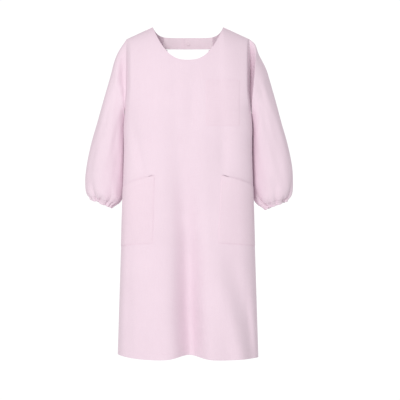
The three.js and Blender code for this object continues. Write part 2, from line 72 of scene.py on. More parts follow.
HEM_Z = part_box("front_panel")[0].z
BACK_HEM_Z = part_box("right_back_flap")[0].z
LENGTH = -HEM_Z
HEM_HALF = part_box("front_panel")[1].x
NECK_HALF = 0.1117  # half the neck opening's width
NECK_DROP = 0.1055  # front neckline below the neck points
NECK_CURVE = 2.6  # how square the front neckline is
SHOULDER_HALF = 0.194
SHOULDER_DROP = 0.038
UNDERARM_DEPTH = 0.270
UNDERARM_HALF = 0.199
CHEST_HALF_FULL = 0.212  # half-width that the chest would have with no armhole
FRONT_DEPTH = (0.085, 0.112)  # at the chest and at the hem
BACK_DEPTH = (0.060, 0.082)
SHOULDER_ROLL = 0.200  # height over which the shoulder rounds into the chest
FRONT_SQUARE = 3.0  # how flat the front's cross-section is
BACK_SQUARE = 2.3

BAND_DROP = 0.033
BAND_FOOT = 0.069
BAND_SEAM_HALF = 0.080
KEYHOLE_HALF = 0.062
KEYHOLE_END = 0.420
KEYHOLE_BULGE = 0.022
BACK_GAP_HALF = 0.018
FOLD_HEM_HALF = 0.206

CLOTH = 0.0007  # one layer of cloth
FACING_THICK = 0.0005  # a facing or a turned hem, pressed flat
SEAM_HALF = 0.0002  # half the gap between two sewn edges

# ---- Small helpers -------------------------------------------


def smooth(t):
    t = np.clip(t, 0, 1)
    return t * t * (3 - 2 * t)


def lerp(a, b, t):
    return a + (b - a) * t


def bump(x, middle, half):
    """A rounded hill of height 1, as a function of x."""
    return np.exp(-(((x - middle) / half) ** 2))


def waves(a, b, terms):
    """A sum of slow waves: each term is (height, length along a, length along b, phase)."""
    return sum(h * np.sin(2 * np.pi * (a / la + b / lb) + phase) for h, la, lb, phase in terms)


def stack(x, y, z):
    return np.stack(np.broadcast_arrays(x, y, z), axis=-1)


def unit(v):
    return v / np.maximum(np.linalg.norm(v, axis=-1, keepdims=True), 1e-12)


def grid_normals(points, wrap):
    """Normals of a grid of points, rows by columns, on the side that columns cross rows points to."""
    if wrap:
        across = np.roll(points, -1, 1) - np.roll(points, 1, 1)
    else:
        across = np.gradient(points, axis=1)
    return unit(np.cross(across, np.gradient(points, axis=0)))


# ---- The body's surface --------------------------------------


def shoulder_z(x):
    return -np.maximum(0, np.abs(x) - NECK_HALF) * (SHOULDER_DROP / (SHOULDER_HALF - NECK_HALF))


def neckline_z(x):
    return -NECK_DROP * (1 - np.minimum(1, np.abs(x) / NECK_HALF) ** NECK_CURVE)


def back_neck_z(x):
    return -BAND_DROP * (1 - np.minimum(1, np.abs(x) / NECK_HALF) ** 7.5)


def body_share(z):
    return np.clip((-z - UNDERARM_DEPTH) / (LENGTH - UNDERARM_DEPTH), 0, 1.02)


UNDERARM_FULLNESS = 0.0035  # how much the cloth spreads just below the underarm


def side_half(z):
    fullness = UNDERARM_FULLNESS * bump(z, -UNDERARM_DEPTH - 0.045, 0.05)
    return lerp(UNDERARM_HALF, HEM_HALF, body_share(z)) + fullness


def full_half(z):
    above = smooth((z + UNDERARM_DEPTH) / 0.060)
    return side_half(z) + above * (CHEST_HALF_FULL - UNDERARM_HALF)


def edge_half(z):
    above = smooth((z + UNDERARM_DEPTH) / 0.080)
    return side_half(z) - above * (UNDERARM_HALF - SHOULDER_HALF)


def roundness(x, z, square):
    ratio = np.minimum(1, np.abs(x) / full_half(z))
    side = (1 - ratio**square) ** (1 / square)
    below = np.clip((shoulder_z(x) - z) / SHOULDER_ROLL, 0, 1)
    return side * np.sqrt(1 - (1 - below) ** 2.2)


def x_at(s, z):
    """s runs from -1 at one side seam or armhole to 1 at the other."""
    return edge_half(z) * np.sin(np.pi / 2 * s)


def s_at(x, z):
    return 2 / np.pi * np.arcsin(np.clip(x / edge_half(z), -1, 1))


# How far the armhole's edge turns in to its seam.
ARMHOLE_CURL = {"left": 0.022, "right": 0.048, "back": 0.010}
CURL_WIDTH = {"left": 0.015, "right": 0.009}


def armhole_curl(x, z, most):
    down = np.clip((-z - SHOULDER_DROP) / (UNDERARM_DEPTH - SHOULDER_DROP), 0, 1)
    width = np.where(x < 0, CURL_WIDTH["left"], CURL_WIDTH["right"])
    near = np.clip((np.abs(x) - edge_half(z)) / width + 1, 0, 1) ** 2.2
    return most * np.sin(np.pi * down) ** 0.6 * near


# Folds of the front. Each path is (distance below the neck points, x); the fold's middle runs along it.
MIDDLE_FOLD = ((0.20, -0.046), (0.32, -0.034), (0.49, -0.014), (0.71, 0.000), (0.89, 0.003), (1.06, 0.012))
POCKET_FOLD = ((0.68, 0.100), (0.74, 0.112), (0.84, 0.140), (0.96, 0.172), (1.06, 0.196))
SLOW_WAVES = ((0.0007, 0.118, 4.5, 0.4), (0.0004, 0.067, -3.1, 2.1), (0.0005, 0.9, 0.31, 1.0))
CREASES = ((0.00009, 0.035, 1.1, 0.3), (0.00006, 0.047, -0.9, 1.9), (0.00005, 0.19, 0.083, 4.4))


def along(path, z):
    depths, xs = zip(*path)
    return np.interp(-z, depths, xs)


MIDDLE_DEPTH = 0.062
HILL = (0.009, 0.080, 0.045)  # height of the hill right of the middle fold, its distance and its width
POCKET_RIDGE, POCKET_VALLEY = (0.014, -0.024, 0.036), (0.017, 0.026, 0.030)  # height or depth, place, width
# Small dents: x, z, width, height, depth, and how far each one leans.
DENTS = (
    (0.013, -0.25, 0.020, 0.090, 0.0030, 0),
    (0.114, -0.39, 0.022, 0.100, 0.0060, 0),
    (-0.15605, -0.395, 0.016, 0.085, 0.0060, 0.19),
    (-0.19, -0.86, 0.020, 0.160, 0.0040, 0),
)


def front_folds(x, z):
    """How far the front stands out beyond its plain shape."""
    middle = along(MIDDLE_FOLD, z)
    grow = smooth((-z - 0.24) / 0.82)
    width = np.where(x < middle, lerp(0.032, 0.038, smooth((-z - 0.3) / 0.7)), 0.036)
    out = -MIDDLE_DEPTH * grow * bump(x, middle, width)
    out += HILL[0] * grow * bump(x, middle + HILL[1], HILL[2])
    ridge = along(POCKET_FOLD, z)
    fall = smooth((-z - 0.66) / 0.38)
    out += fall * POCKET_RIDGE[0] * bump(x, ridge + POCKET_RIDGE[1], POCKET_RIDGE[2])
    out -= fall * POCKET_VALLEY[0] * bump(x, ridge + POCKET_VALLEY[1], POCKET_VALLEY[2])
    for dent_x, dent_z, wide, high, deep, lean in DENTS:
        out -= deep * bump(x - dent_x + lean * (z - dent_z), 0, wide) * bump(z, dent_z, high)
    return out + waves(x, z, SLOW_WAVES) + waves(x, z, CREASES)


def side_fade(x, z):
    """1 over most of a panel, 0 at its side and shoulder seams, so that folds don't part the seams."""
    return smooth((edge_half(z) - np.abs(x)) / 0.035) * smooth((shoulder_z(x) - z) / 0.05)


def front_y(x, z, dents=True):
    depth = lerp(*FRONT_DEPTH, body_share(z))
    y = -SEAM_HALF - depth * roundness(x, z, FRONT_SQUARE) - front_folds(x, z) * side_fade(x, z)
    y += armhole_curl(x, z, np.where(x < 0, ARMHOLE_CURL["left"], ARMHOLE_CURL["right"]))
    if dents:
        y += mouth_dents(x, z)
    return np.minimum(y, -SEAM_HALF)


BACK_WAVES = ((0.0060, 0.125, 2.7, 0.6), (0.0032, 0.074, -1.9, 2.8), (0.0022, 0.36, 0.37, 0.2))


def back_y(x, z):
    depth = lerp(*BACK_DEPTH, body_share(z))
    loose = smooth((-z - 0.1) / 0.6)
    out = (waves(x, z, BACK_WAVES) * loose + waves(x, z, CREASES)) * side_fade(x, z)
    out = out - armhole_curl(x, z, ARMHOLE_CURL["back"])
    return np.maximum(SEAM_HALF + depth * roundness(x, z, BACK_SQUARE) + out, SEAM_HALF)


def hem_rise(x):
    """How far both hems rise towards the side seams."""
    return np.where(x < 0, 0.017, 0.008) * (np.abs(x) / HEM_HALF) ** 4


def front_hem_z(x):
    return HEM_Z + 0.016 * bump(x, 0.003, 0.045) + hem_rise(x)


def back_hem_z(x):
    return BACK_HEM_Z + 0.6 * hem_rise(x)


def opening_x(z):
    t = np.clip((-z - BAND_FOOT) / (KEYHOLE_END - BAND_FOOT), 0, 1)
    return lerp(KEYHOLE_HALF, BACK_GAP_HALF, smooth(t)) + KEYHOLE_BULGE * np.sin(np.pi * np.sqrt(t)) ** 2


# ---- Pockets: where each one lies on the front ---------------

HIP = {"inner": 0.105, "top": 0.470, "top_side": 0.509, "bottom": 0.685, "bottom_side": 0.694, "side": 0.955}
CHEST = {"inner": 0.057, "outer": 0.163, "top": 0.171, "bottom": 0.314}


def hip_place(side):
    """s and z on the front for a pocket's own coordinates: a from left to right, b from foot to mouth."""

    def place(a, b):
        across = a if side > 0 else 1 - a
        foot = lerp(-HIP["bottom"], -HIP["bottom_side"], across)
        z = lerp(foot, lerp(-HIP["top"], -HIP["top_side"], across), b)
        inner = HIP["inner"] - 0.010 * (1 - b) * (side > 0) + 0.006 * (1 - b) * (side < 0)
        return side * lerp(s_at(inner, z), HIP["side"], across), z

    return place


def chest_place(a, b):
    z = lerp(-CHEST["bottom"], -CHEST["top"], b)
    return s_at(lerp(CHEST["inner"], CHEST["outer"], a), z), z


MOUTH_DEPTH = {-1: 0.0105, 1: 0.0190}
MOUTH_OVERLAP, MOUTH_RAMP = 0.0040, 0.0030  # how far above the mouth the dent starts, and how soon it is full


def mouth_dents(x, z):
    """The front sinks in just under each hip pocket's mouth, so that the mouth shows as a slit."""
    out = 0
    for side, deep in MOUTH_DEPTH.items():
        across = (side * x - HIP["inner"]) / 0.1
        mouth = lerp(-HIP["top"], -HIP["top_side"], np.clip(across, -0.2, 1.2))
        over = smooth((across + 0.01) / 0.30) * smooth((1.06 - across) / 0.1)
        down = smooth((mouth + MOUTH_OVERLAP - z) / MOUTH_RAMP) * smooth((z - mouth + 0.07) / 0.05)
        out = out + deep * over * down
    return out


# ---- Turning grids into cloth --------------------------------


def mesh_object(name, verts, quads, uv, material):
    """A smooth mesh from vertices, four-sided faces and a uv pair for each vertex, in metres of cloth."""
    mesh = bpy.data.meshes.new(name)
    mesh.vertices.add(len(verts))
    mesh.vertices.foreach_set("co", verts.astype(np.float32).ravel())
    mesh.loops.add(quads.size)
    mesh.loops.foreach_set("vertex_index", quads.astype(np.int32).ravel())
    mesh.polygons.add(len(quads))
    mesh.polygons.foreach_set("loop_start", np.arange(0, quads.size, 4, dtype=np.int32))
    mesh.polygons.foreach_set("use_smooth", np.ones(len(quads), bool))
    layer = mesh.uv_layers.new(name="cloth")
    layer.data.foreach_set("uv", uv[quads.ravel()].astype(np.float32).ravel())
    mesh.update(calc_edges=True)
    mesh.validate()
    mesh.set_sharp_from_angle(angle=math.radians(50))
    mesh.materials.append(material)
    obj = bpy.data.objects.new(name, mesh)
    bpy.context.scene.collection.objects.link(obj)
    return obj


def cloth_uv(points):
    """Distances along the cloth from the middle column and the first row."""
    step = np.linalg.norm(np.diff(points, axis=1), axis=-1)
    u = np.concatenate([np.zeros((len(points), 1)), np.cumsum(step, 1)], 1)
    u = u - u[:, points.shape[1] // 2][:, None]
    step = np.linalg.norm(np.diff(points, axis=0), axis=-1)
    v = np.concatenate([np.zeros((1, points.shape[1])), np.cumsum(step, 0)], 0)
    return np.stack([u, v], -1)


def cloth(name, points, thick, material, flip=False, wrap=False, lift=0.0):
    """A closed layer of cloth whose outer face is the grid of points, lifted off it along its normals."""
    if wrap:
        seamed = np.concatenate([points, points[:, :1]], 1)
    else:
        seamed = points
    normals = grid_normals(points, wrap) * (-1 if flip else 1)
    if wrap:
        normals = np.concatenate([normals, normals[:, :1]], 1)
    rows, columns = seamed.shape[:2]
    outer = seamed + normals * lift
    inner = outer - normals * thick
    verts = np.concatenate([outer.reshape(-1, 3), inner.reshape(-1, 3)])
    index = np.arange(rows * columns).reshape(rows, columns)
    if wrap:
        index[:, -1] = index[:, 0]
    below = index + rows * columns

    def quads(a, b, c, d):
        return np.stack([a, b, c, d], -1).reshape(-1, 4)

    faces = [
        quads(index[:-1, :-1], index[:-1, 1:], index[1:, 1:], index[1:, :-1]),
        quads(below[:-1, :-1], below[1:, :-1], below[1:, 1:], below[:-1, 1:]),
        quads(index[0, :-1], below[0, :-1], below[0, 1:], index[0, 1:]),
        quads(index[-1, :-1], index[-1, 1:], below[-1, 1:], below[-1, :-1]),
    ]
    if not wrap:
        faces += [
            quads(index[:-1, 0], index[1:, 0], below[1:, 0], below[:-1, 0]),
            quads(index[:-1, -1], below[:-1, -1], below[1:, -1], index[1:, -1]),
        ]
    faces = np.concatenate(faces)
    if flip:
        faces = faces[:, ::-1]
    uv = cloth_uv(seamed).reshape(-1, 2)
    return mesh_object(name, verts, faces, np.concatenate([uv, uv]), material)


def inner_layer(name, points, lift, flip=False):
    """A facing or a turned hem, on the inner side of the cloth."""
    return cloth(name, points, FACING_THICK, FACING_CLOTH, flip=flip, lift=lift)


def turned(points, radius, flip=False, wrap=False, steps=5):
    """Adds rows after the last one, where the cloth turns round a small radius to its own inner side."""
    normals = grid_normals(points, wrap)[-1] * (-1 if flip else 1)
    onward = unit(points[-1] - points[-2])
    rows = [points]
    for i in range(1, steps + 1):
        angle = np.pi * i / steps
        edge = points[-1] + radius * (onward * np.sin(angle) + normals * (np.cos(angle) - 1))
        rows.append(edge[None])
    return np.concatenate(rows)


def spread(count, density):
    """Shares from 0 to 1, close together where the density is high."""
    fine = np.linspace(0, 1, 2000)
    total = np.concatenate([[0], np.cumsum((density(fine[1:]) + density(fine[:-1])) / 2)])
    return np.interp(np.linspace(0, 1, count), total / total[-1], fine)


def surface_normal(surface, a, b, step=0.0004):
    return unit(
        np.cross(surface(a + step, b) - surface(a - step, b), surface(a, b + step) - surface(a, b - step))
    )


def flat_size(points, wrap=False):
    """Width, length and area of the flat cloth that a grid of points would be cut from."""
    if wrap:
        points = np.concatenate([points, points[:, :1]], 1)
    across = np.linalg.norm(np.diff(points, axis=1), axis=-1)
    down = np.linalg.norm(np.diff(points, axis=0), axis=-1)
    corner = np.cross(points[1:, :-1] - points[:-1, :-1], points[:-1, 1:] - points[:-1, :-1])
    area = np.linalg.norm(corner, axis=-1).sum()
    width, length = across.sum(1).max(), down.sum(0).max()
    return (width, length), min(area, width * length)


# ---- Materials -----------------------------------------------


def linear(red, green, blue):
    """A screen colour, 0 to 255, as the shader's own linear colour."""

    def one(c):
        c = c / 255
        return c / 12.92 if c <= 0.04045 else ((c + 0.055) / 1.055) ** 2.4

    return one(red), one(green), one(blue), 1.0


class Nodes:
    """A short way to build a material's nodes."""

    def __init__(self, name):
        self.material = bpy.data.materials.new(name)
        self.material.use_nodes = True
        self.tree = self.material.node_tree
        self.shader = self.tree.nodes["Principled BSDF"]

    def add(self, kind, inputs=(), **settings):
        node = self.tree.nodes.new(kind)
        for key, value in settings.items():
            setattr(node, key, value)
        for key, value in dict(inputs).items():
            if isinstance(value, bpy.types.NodeSocket):
                self.tree.links.new(value, node.inputs[key])
            else:
                node.inputs[key].default_value = value
        return node

    def math(self, operation, a, b=0.0):
        return self.add("ShaderNodeMath", {0: a, 1: b}, operation=operation).outputs[0]

    def noise(self, vector, scale, detail=3.0, rough=0.55):
        inputs = {"Vector": vector, "Scale": scale, "Detail": detail, "Roughness": rough}
        return self.add("ShaderNodeTexNoise", inputs).outputs["Fac"]

    def ramp(self, value, low, high):
        """The value's part from low to high, stretched to 0 to 1."""
        inputs = {"Value": value, "From Min": low, "From Max": high}
        return self.add("ShaderNodeMapRange", inputs).outputs["Result"]

    def mix(self, share, a, b):
        node = self.tree.nodes.new("ShaderNodeMix")
        node.data_type = "RGBA"
        for socket, value in ((node.inputs[0], share), (node.inputs[6], a), (node.inputs[7], b)):
            if isinstance(value, bpy.types.NodeSocket):
                self.tree.links.new(value, socket)
            else:
                socket.default_value = value
        return node.outputs[2]

    def scaled(self, vector, scale):
        inputs = {"Vector": vector, "Scale": scale}
        return self.add("ShaderNodeMapping", inputs).outputs["Vector"]

    def set(self, **values):
        for key, value in values.items():
            self.shader.inputs[key.replace("_", " ")].default_value = value

    def link(self, output, key):
        self.tree.links.new(output, self.shader.inputs[key])


THREAD = 0.00042  # from one thread to the next


def woven(name, colour, shade, thread=THREAD, relief=0.00007, rough=0.82, sheen=0.3):
    """Plain-woven cotton and polyester: crossing threads, slubs, a soft bloom and slow shifts of colour, with
    painted shade in the gaps between the threads.
    """
    n = Nodes(name)
    uv = n.add("ShaderNodeUVMap", uv_map="cloth").outputs["UV"]
    parts = n.add("ShaderNodeSeparateXYZ", {"Vector": uv})
    wobble = n.math("MULTIPLY", n.noise(uv, 60.0), 1.2)
    turn = math.pi / thread
    warp = n.math("SINE", n.math("ADD", n.math("MULTIPLY", parts.outputs["X"], turn), wobble))
    weft = n.math("SINE", n.math("ADD", n.math("MULTIPLY", parts.outputs["Y"], turn), wobble))
    weave = n.math("MULTIPLY", warp, weft)
    over = n.math("ABSOLUTE", weave)
    warp_slub = n.noise(n.scaled(uv, (1500.0, 22.0, 1.0)), 1.0, 2.0)
    weft_slub = n.noise(n.scaled(uv, (22.0, 1500.0, 1.0)), 1.0, 2.0)
    slubs = n.math("MULTIPLY", n.math("ADD", warp_slub, weft_slub), 0.5)
    place = n.add("ShaderNodeTexCoord").outputs["Object"]
    slow = n.noise(place, 7.0, 4.0)
    fibre = n.noise(place, 2600.0, 2.0)

    light = tuple(min(1.0, c * 1.035) for c in colour[:3]) + (1.0,)
    body = n.mix(n.ramp(slow, 0.3, 0.7), colour, light)
    streaked = n.mix(n.math("MULTIPLY", n.ramp(slubs, 0.58, 0.36), 0.14), body, shade)
    # painted shade: the colour goes up to 12 percent of the way to the shade colour in the gaps between the
    # threads, where the weave is low
    thread_gap_painted_shade = n.math("MULTIPLY", n.ramp(over, 0.35, 0.0), 0.12)
    n.link(n.mix(thread_gap_painted_shade, streaked, shade), "Base Color")
    n.link(n.math("ADD", n.math("MULTIPLY", fibre, 0.16), rough - 0.08), "Roughness")
    uneven = n.math("ADD", n.math("MULTIPLY", slubs, 0.7), n.math("MULTIPLY", fibre, 0.35))
    height = n.math("ADD", over, uneven)
    bumped = n.add("ShaderNodeBump", {"Height": height, "Strength": 0.55, "Distance": relief})
    n.link(bumped.outputs["Normal"], "Normal")
    n.set(Sheen_Weight=sheen, Sheen_Roughness=0.45, Sheen_Tint=(1.0, 0.93, 0.97, 1.0))
    n.set(Specular_IOR_Level=0.22)
    return n.material


def thread_material():
    n = Nodes("sewing_thread")
    place = n.add("ShaderNodeTexCoord").outputs["Object"]
    twist = n.noise(n.scaled(place, (900.0, 900.0, 900.0)), 2.0, 2.0)
    n.link(n.mix(n.ramp(twist, 0.3, 0.7), linear(222, 190, 205), linear(240, 213, 226)), "Base Color")
    n.link(n.math("ADD", n.math("MULTIPLY", twist, 0.2), 0.4), "Roughness")
    n.set(Sheen_Weight=0.2)
    return n.material


def stud_material():
    """Moulded nylon, faintly mottled, with fine wear on its face."""
    n = Nodes("pink_nylon")
    place = n.add("ShaderNodeTexCoord").outputs["Object"]
    mottle = n.noise(place, 400.0, 4.0)
    wear = n.noise(place, 3000.0, 3.0, 0.7)
    n.link(n.mix(n.ramp(mottle, 0.35, 0.65), linear(238, 216, 227), linear(243, 224, 234)), "Base Color")
    n.link(n.math("ADD", n.math("MULTIPLY", wear, 0.3), 0.2), "Roughness")
    bumped = n.add("ShaderNodeBump", {"Height": wear, "Strength": 0.12, "Distance": 0.00005})
    n.link(bumped.outputs["Normal"], "Normal")
    n.set(Specular_IOR_Level=0.5)
    return n.material


GOWN_CLOTH = woven("gown_cloth", linear(233, 214, 225), linear(209, 174, 193))
# painted light: the band's cloth is the gown's cloth painted lighter, to make up for the shade that it sits
# in inside the neck
BAND_CLOTH_PAINTED_LIGHTER = woven("band_cloth_painted_lighter", linear(243, 226, 235), linear(224, 194, 209))
TRIM_CLOTH = woven("trim_cloth", linear(233, 213, 224), linear(208, 172, 191))
FACING_CLOTH = woven("facing_cloth", linear(232, 213, 224), linear(209, 174, 193), rough=0.86, sheen=0.2)
ELASTIC = woven("woven_elastic", linear(244, 240, 238), linear(206, 200, 198), thread=0.0011, relief=0.0002)
LABEL = woven("label_satin", linear(249, 247, 246), linear(226, 222, 222), thread=0.0003, rough=0.5)
THREADS = thread_material()
NYLON = stud_material()

# ---- The front panel -----------------------------------------


def front_point(s, z, dents=True):
    x = x_at(s, z)
    return stack(x, front_y(x, z, dents), z)


def front_top(x):
    return np.where(np.abs(x) < NECK_HALF, neckline_z(x), shoulder_z(x))


def front_grid():
    """Rows from the shoulders and neckline down to the hem."""
    s = spread(230, lambda u: 1 + 0.6 * (bump(u, 0.219, 0.02) + bump(u, 0.781, 0.02))) * 2 - 1
    w = spread(330, lambda u: 1 + 2.5 * np.exp(-u / 0.012) + 1.6 * bump(u, 0.46, 0.035) + 2.5 * (u > 0.968))
    s, w = np.meshgrid(s, w)
    top_x = x_at(s, 0)
    z = lerp(front_top(top_x), front_hem_z(x_at(s, HEM_Z)), w)
    return front_point(s, z)


def along_neckline(u, away):
    """A point on the front, away from the neckline's edge; u runs from one neck point to the other."""
    x = NECK_HALF * np.sin(np.pi / 2 * u)
    slope = np.sign(x) * NECK_DROP * NECK_CURVE / NECK_HALF * (np.abs(x) / NECK_HALF) ** (NECK_CURVE - 1)
    size = np.sqrt(1 + slope**2)
    px = x + away * slope / size
    pz = np.minimum(neckline_z(x) - away / size, shoulder_z(px) - 0.002)
    return s_at(px, pz), pz


HEM_TURN = 0.0009  # radius of a folded edge
HEM_HEIGHT = 0.020
HEM_STITCH = 0.0175
INSIDE = CLOTH + 0.0002  # how far inside the outer face a second layer starts


def make_front():
    points = turned(front_grid(), HEM_TURN, flip=True)
    panel = cloth("front_cloth", points, CLOTH, GOWN_CLOTH, flip=True)
    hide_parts("front_panel")

    u, v = np.meshgrid(np.linspace(-1, 1, 120), np.linspace(0.0006, 0.025, 12))
    facing_points = front_point(*along_neckline(u, v))
    facing = inner_layer("neckline_facing", facing_points, -INSIDE, True)
    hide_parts("neck_facing")

    s, w = np.meshgrid(np.linspace(-0.985, 0.985, 150), np.linspace(1, 0, 10))
    hem_z = front_hem_z(x_at(s, HEM_Z)) + 0.0003
    hem_points = front_point(s, hem_z + HEM_HEIGHT * w)
    hem = inner_layer("front_hem_turning", hem_points[::-1], -INSIDE - HEM_TURN)
    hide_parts("front_hem")
    return (panel, points), (facing, facing_points), (hem, hem_points)


# ---- Pockets -------------------------------------------------


def front_out(s, z):
    return surface_normal(lambda p, q: front_point(p, q, dents=False), s, z, 0.002)


def pocket_point(place, bulge, gape, a, b, lift=0.0):
    """The pocket lies on the front, swells a little in its middle and stands off most at its mouth."""
    s, z = place(np.clip(a, 0, 1), np.clip(b, 0, 1))
    swell = np.sin(np.pi * np.clip(a, 0, 1)) ** 0.7
    out = bulge * swell * np.sin(np.pi * np.clip(b, 0, 1)) ** 0.8 + gape * swell * smooth((b - 0.72) / 0.28)
    return front_point(s, z, dents=False) + front_out(s, z) * (out + lift)[..., None]


# For each pocket: its place, how far it swells and gapes, its height, and how thick its cloth and edges are.
POCKETS = {
    "chest": (chest_place, 0.0004, 0.0006, 0.143, 0.0006),
    "left_hip": (hip_place(-1), 0.0022, 0.0022, 0.215, 0.0011),
    "right_hip": (hip_place(1), 0.0022, 0.0034, 0.215, 0.0011),
}
POCKET_HEM = 0.022


def make_pocket(name):
    place, bulge, gape, height, thick = POCKETS[name]
    rows = spread(70, lambda u: 1 + 2 * (u > 0.9))
    a, b = np.meshgrid(spread(70, lambda u: 1 + 2 * (np.abs(u - 0.5) > 0.46)), rows[::-1])
    edge = np.minimum(np.minimum(a, 1 - a), b) * 0.106 / 0.0022
    points = pocket_point(place, bulge, gape, a, b, thick * (0.55 + 0.45 * smooth(edge)) + 0.0001)
    piece = cloth(f"{name}_pocket_cloth", points, thick * 0.9, TRIM_CLOTH, flip=True)
    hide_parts(f"{name}_pocket")

    a, b = np.meshgrid(np.linspace(0.08, 0.92, 50), np.linspace(1, 1 - POCKET_HEM / height, 8))
    hem_points = pocket_point(place, bulge, gape, a, b)
    hem = inner_layer(f"{name}_pocket_turning", hem_points, -0.0002, True)
    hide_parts(f"{name}_pocket_hem")
    return (piece, points), (hem, hem_points)


# ---- The back ------------------------------------------------

BACK_NOTCH = (0.066, 0.074)  # below the neck points, where the back's edge steps in under the band
BAND_LAP = 0.0025  # how far the back's edge reaches behind the band's root


def back_edge_x(z):
    """The back panel's inner edge: the band's seam at the top, then the edge of the opening."""
    step = smooth((-z - BACK_NOTCH[0]) / (BACK_NOTCH[1] - BACK_NOTCH[0]))
    return lerp(BAND_SEAM_HALF - BAND_LAP, opening_x(z), step)


def back_point(side, s, z):
    """s is a share of the half-width, from the middle to the side seam."""
    x = side * x_at(s, z)
    return stack(x, back_y(x, z), z)


def back_at(side, u, z):
    """u runs from the inner edge to the side."""
    return back_point(side, lerp(s_at(back_edge_x(z), z), 1, u), z)


def back_grid(side):
    u = spread(120, lambda u: 1 + 1.0 * (u < 0.05) + 0.8 * (u > 0.9))
    w = spread(300, lambda u: 1 + 2.5 * np.exp(-u / 0.012) + 1.5 * bump(u, 0.04, 0.02) + 2.5 * (u > 0.968))
    u, w = np.meshgrid(u, w)
    top_x = x_at(lerp(s_at(BAND_SEAM_HALF - BAND_LAP, 0), 1, u), 0)
    top = np.where(top_x < NECK_HALF, back_neck_z(top_x), shoulder_z(top_x))
    return back_at(side, u, lerp(top, back_hem_z(side * x_at(u, BACK_HEM_Z)), w))


def flap_blend(piece, side, name):
    """Bakes the piece's transform into its mesh. The fold line between the back's fixed part and its flap is
    worked out but not used.
    """
    top = np.array([side * BAND_SEAM_HALF, -BAND_FOOT])
    foot = np.array([side * FOLD_HEM_HALF, BACK_HEM_Z])
    middle, line = (top + foot) / 2, unit(foot - top)
    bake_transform(piece)


FACING_WIDTH = 0.025


def facing_point(side, away, z):
    x = opening_x(z) + away
    return back_point(side, s_at(x, z), z)


def make_back(side, name):
    flip = side < 0
    points = turned(back_grid(side), HEM_TURN, flip=flip)
    panel = cloth(f"{name}_back_cloth", points, CLOTH, GOWN_CLOTH, flip=flip)
    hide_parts(f"{name}_back_shoulder", f"{name}_back_side", f"{name}_back_flap")

    u, w = np.meshgrid(np.linspace(0.01, 0.985, 100), np.linspace(HEM_HEIGHT, 0.0003, 10))
    hem_points = back_at(side, u, back_hem_z(side * x_at(u, BACK_HEM_Z)) + w)
    hem = inner_layer(f"{name}_back_turning", hem_points, -INSIDE - HEM_TURN, flip)
    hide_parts(f"{name}_back_hem")

    down = np.linspace(-BACK_NOTCH[1] - 0.004, BACK_HEM_Z + HEM_HEIGHT, 240)
    away, z = np.meshgrid(np.linspace(0.0004, FACING_WIDTH, 10), down)
    facing_points = facing_point(side, away, z)
    facing = inner_layer(f"{name}_opening_facing", facing_points, -INSIDE, flip)
    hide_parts(f"{name}_back_facing")

    patch = make_tie_patch(side, name, flip)
    return (panel, points), (hem, hem_points), (facing, facing_points), patch


TIE_PATCH = 0.032
TIE_PATCH_BELOW = 0.470


def patch_point(side, a, b):
    """a and b run from -0.5 to 0.5 over the patch."""
    x = BACK_GAP_HALF + TIE_PATCH / 2 + 0.004 + a * TIE_PATCH
    z = -TIE_PATCH_BELOW + b * TIE_PATCH
    return back_point(side, s_at(x, z), z)


def make_tie_patch(side, name, flip):
    a, b = np.meshgrid(np.linspace(-0.5, 0.5, 24), np.linspace(0.5, -0.5, 24))
    edge = smooth((0.5 - np.maximum(np.abs(a), np.abs(b))) * TIE_PATCH / 0.0015)
    points = patch_point(side, a, b)
    out = grid_normals(points, False) * (-1 if flip else 1)
    points = points + out * (0.0006 + 0.0007 * edge)[..., None]
    patch = cloth(f"{name}_tie_reinforcement", points, 0.0005, TRIM_CLOTH, flip=flip)
    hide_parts(f"{name}_tie_patch")
    return patch, points


# ---- The sleeves ---------------------------------------------

# Places on the right sleeve from the armhole to the cuff: x and z of its outer line, x and z of its inner
# line, its half-depth and y of its middle.
SLEEVE_PLACES = np.array((
    (0.195, -0.039, 0.199, -0.268, 0.046, 0.000),
    (0.228, -0.092, 0.2025, -0.286, 0.047, 0.005),
    (0.2495, -0.165, 0.2025, -0.303, 0.048, 0.012),
    (0.271, -0.238, 0.203, -0.332, 0.048, 0.019),
    (0.289, -0.303, 0.202, -0.375, 0.049, 0.025),
    (0.306, -0.362, 0.2015, -0.425, 0.051, 0.030),
    (0.320, -0.425, 0.202, -0.475, 0.053, 0.033),
    (0.327, -0.480, 0.203, -0.515, 0.053, 0.034),
    (0.323, -0.521, 0.212, -0.549, 0.045, 0.033),
    (0.313, -0.547, 0.241, -0.575, 0.026, 0.032),
))
SLEEVE_GAP = 0.0006  # between the sleeve's first edge and the armhole's
ARMHOLE_FIT = 0.25  # share of the sleeve over which it takes on its own shape
ARMHOLE_RISE = {-1: 0.17, 1: 0.075}  # and over which it comes forward from its seam
CASING = 0.055  # share of the sleeve that the cuff's casing takes
GATHERS = 13


def smooth_line(places, t):
    """A uniform Catmull-Rom curve through the places, at shares t of it."""
    position = np.clip(t, 0, 1) * (len(places) - 1)
    i = np.minimum(position.astype(int), len(places) - 2)
    f = (position - i)[..., None]
    ends = np.concatenate([[2 * places[0] - places[1]], places, [2 * places[-1] - places[-2]]])
    a, b, c, d = (ends[i + k] for k in range(4))
    into, out_of = (c - a) / 2, (d - b) / 2
    return ((2 * b - 2 * c + into + out_of) * f + (-3 * b + 3 * c - 2 * into - out_of)) * f**2 + into * f + b


def armhole_point(side, angle):
    z = lerp(-UNDERARM_DEPTH, -SHOULDER_DROP, 0.5 + 0.5 * np.cos(angle))
    x = edge_half(z)
    return stack(x + SLEEVE_GAP, np.where(np.sin(angle) < 0, front_y(side * x, z), back_y(x, z)), z)


TUCK = (0.005, 0.015)  # how far in and back the sleeve's inner side goes, to hang behind the body
FULLER = 0.008  # how much further out the right sleeve stands
RIGHT_CUFF_LOWER = 0.006
PUFF, PUFF_AT = (0.007, 0.005), 0.04  # how far out and up it stands at its top, and where


